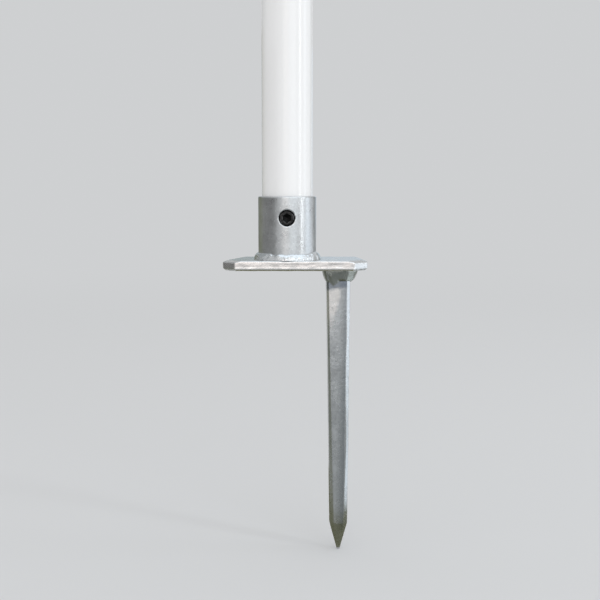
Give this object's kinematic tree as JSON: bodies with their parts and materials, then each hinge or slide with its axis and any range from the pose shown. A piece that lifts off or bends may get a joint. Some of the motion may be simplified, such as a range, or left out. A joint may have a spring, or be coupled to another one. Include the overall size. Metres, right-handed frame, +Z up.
{
  "type": "corner flag",
  "caption": "Corner flag: a white plastic pole clamped by a set screw in a galvanised steel socket on a foot plate with a ground spike, and a plain cloth flag.",
  "frame": {"origin": "on the pole's axis at the foot plate's underside, which lies on the ground", "axes": "+Z up the pole; +X along the foot plate towards the spike; -Y is the set screw's side"},
  "size_m": [0.4206, 0.0927, 1.6903],
  "materials": {
    "galvanised_steel": "hot-dip galvanised, dull grey with fine specks and bright worn edges",
    "black_steel": "black oxide, slightly oily",
    "white_plastic": "smooth glossy white extruded plastic",
    "cap_plastic": "satin white moulded plastic",
    "flag_cloth": "plain woven polyester, hemmed and stitched"
  },
  "bodies": {
    "root": {"foot_plate": "galvanised_steel", "pole_socket": "galvanised_steel", "socket_weld": "galvanised_steel", "ground_spike": "galvanised_steel", "spike_weld": "galvanised_steel", "set_screw": "black_steel", "pole": "white_plastic", "pole_cap": "cap_plastic", "flag_sleeve": "flag_cloth", "flag": "flag_cloth"}
  },
  "joints": []
}
